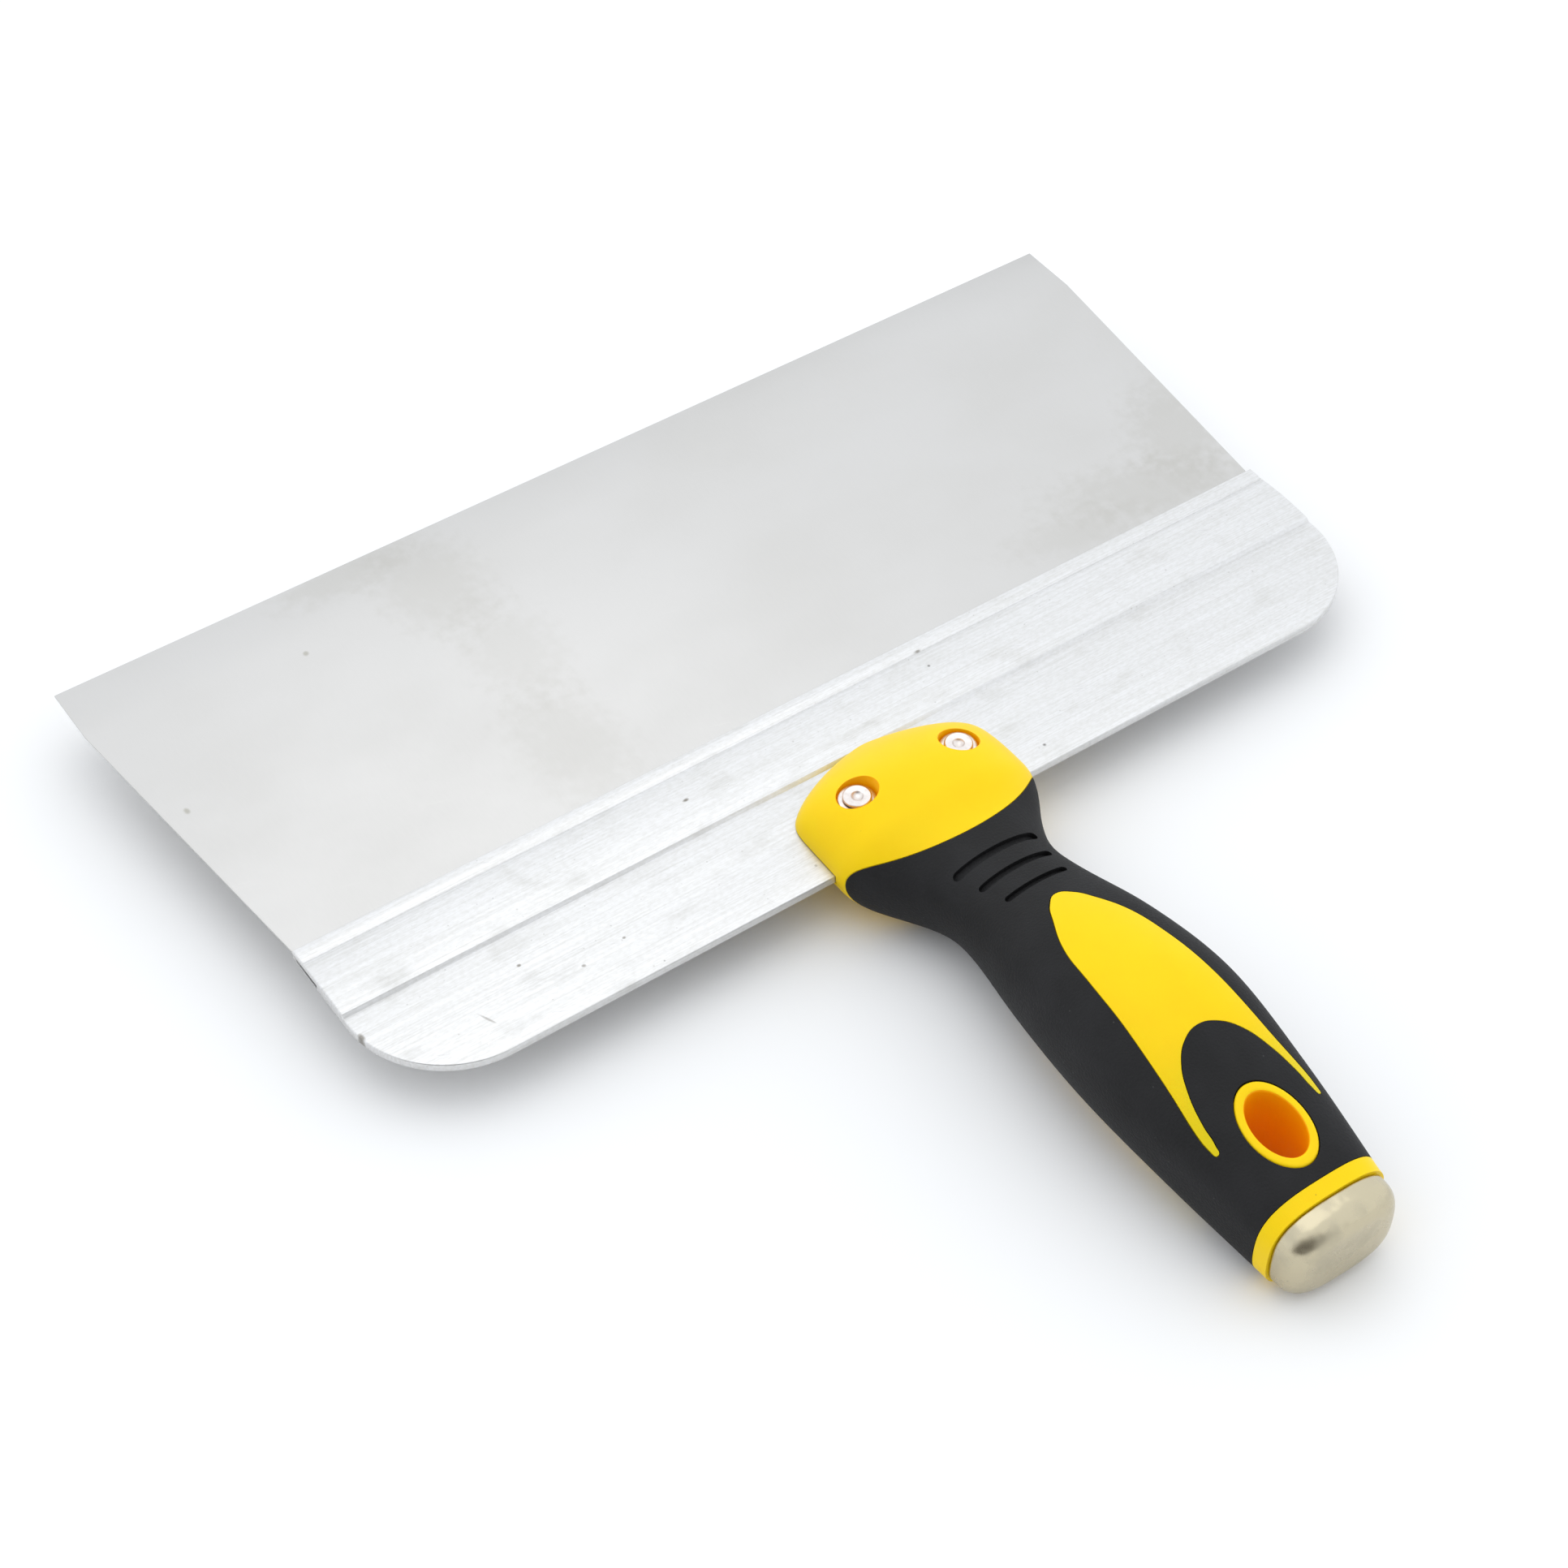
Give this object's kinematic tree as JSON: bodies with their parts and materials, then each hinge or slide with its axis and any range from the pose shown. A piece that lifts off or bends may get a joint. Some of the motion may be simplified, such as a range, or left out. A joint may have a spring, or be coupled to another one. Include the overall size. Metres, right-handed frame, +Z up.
{
  "type": "drywall taping knife",
  "caption": "Wide flat stainless blade in a slotted aluminium backing, with a moulded soft-grip handle, hang hole and metal hammer cap.",
  "frame": {"origin": "middle of the footprint on the surface the knife rests on", "axes": "+X across the blade, +Y from the handle to the working edge, +Z up"},
  "size_m": [0.2512, 0.2528, 0.0309],
  "materials": {
    "blade_steel": "satin",
    "backing_aluminium": "satin",
    "yellow_plastic": "satin",
    "black_rubber": "matte",
    "rivet_steel": "satin",
    "nickel_plate": "satin"
  },
  "bodies": {
    "root": {"blade": "blade_steel", "backing": "backing_aluminium", "handle_core": "yellow_plastic", "soft_grip": "black_rubber", "rivet_left": "rivet_steel", "rivet_right": "rivet_steel", "rivet_washer_left": "rivet_steel", "rivet_washer_right": "rivet_steel", "hammer_cap": "nickel_plate"}
  },
  "joints": []
}
